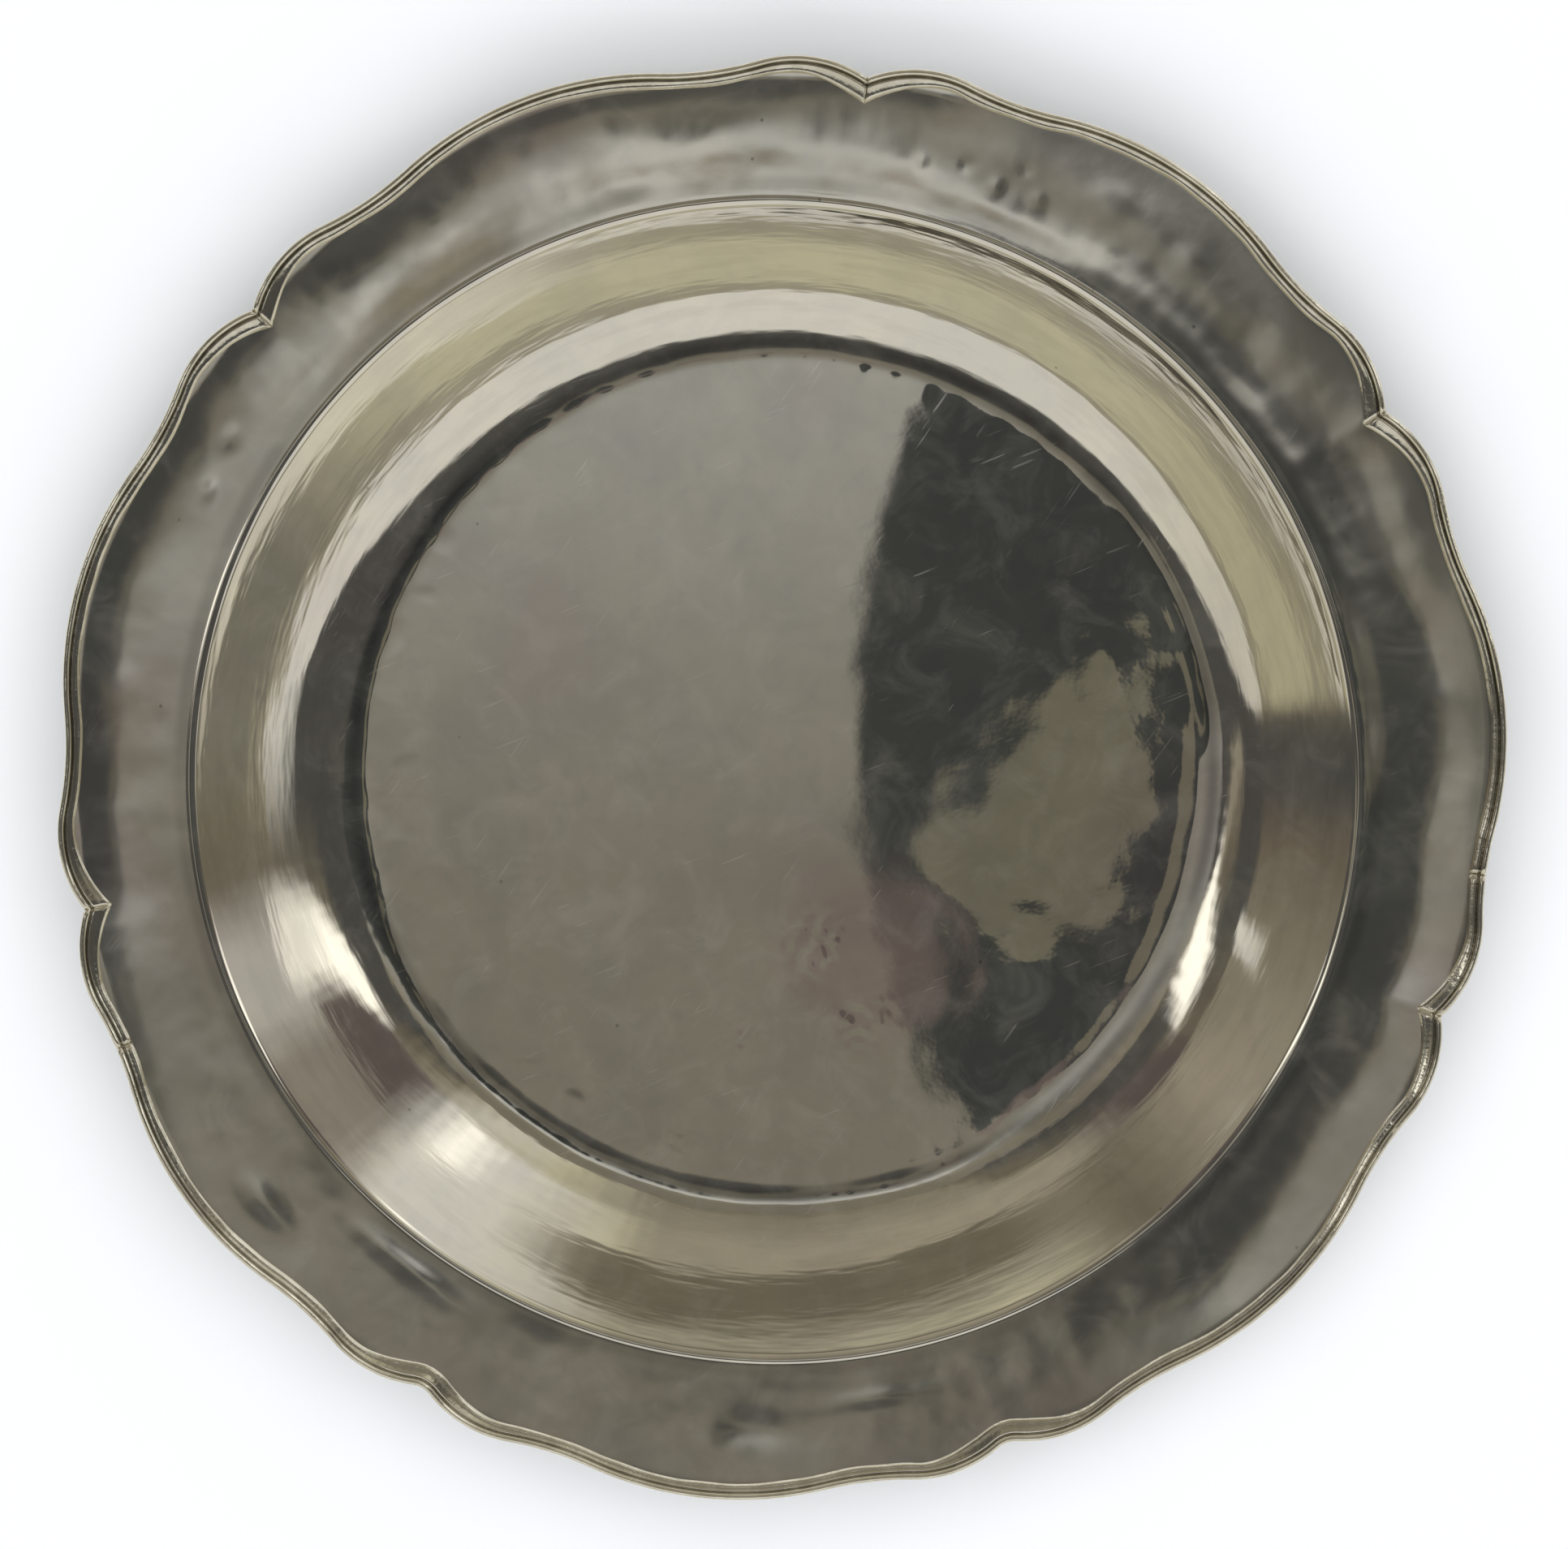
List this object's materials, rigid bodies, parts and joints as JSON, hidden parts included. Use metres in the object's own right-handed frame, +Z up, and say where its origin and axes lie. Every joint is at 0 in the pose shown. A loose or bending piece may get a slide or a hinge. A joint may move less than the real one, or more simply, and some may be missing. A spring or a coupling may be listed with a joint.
{
  "type": "silver dish",
  "caption": "Shallow round silver dish with a flat well, a curved wall, a broad flange and a lobed, notched rim edged with a soldered moulding; it stands on its base.",
  "frame": {"origin": "centre of the flat underside of the well, on the surface that the dish stands on", "axes": "+Z up out of the dish, +Y towards the first notch of the rim and +X to its right, seen from above"},
  "size_m": [0.3781, 0.3796, 0.0262],
  "materials": {
    "silver_sheet": "old polished silver with light tarnish and fine scratches",
    "silver_moulding": "rubbed bright silver on the raised edge, darker in the groove"
  },
  "bodies": {
    "root": {"dish": "silver_sheet", "rim_moulding_1": "silver_moulding", "rim_moulding_2": "silver_moulding", "rim_moulding_3": "silver_moulding", "rim_moulding_4": "silver_moulding", "rim_moulding_5": "silver_moulding", "rim_moulding_6": "silver_moulding", "rim_moulding_7": "silver_moulding"}
  },
  "joints": []
}
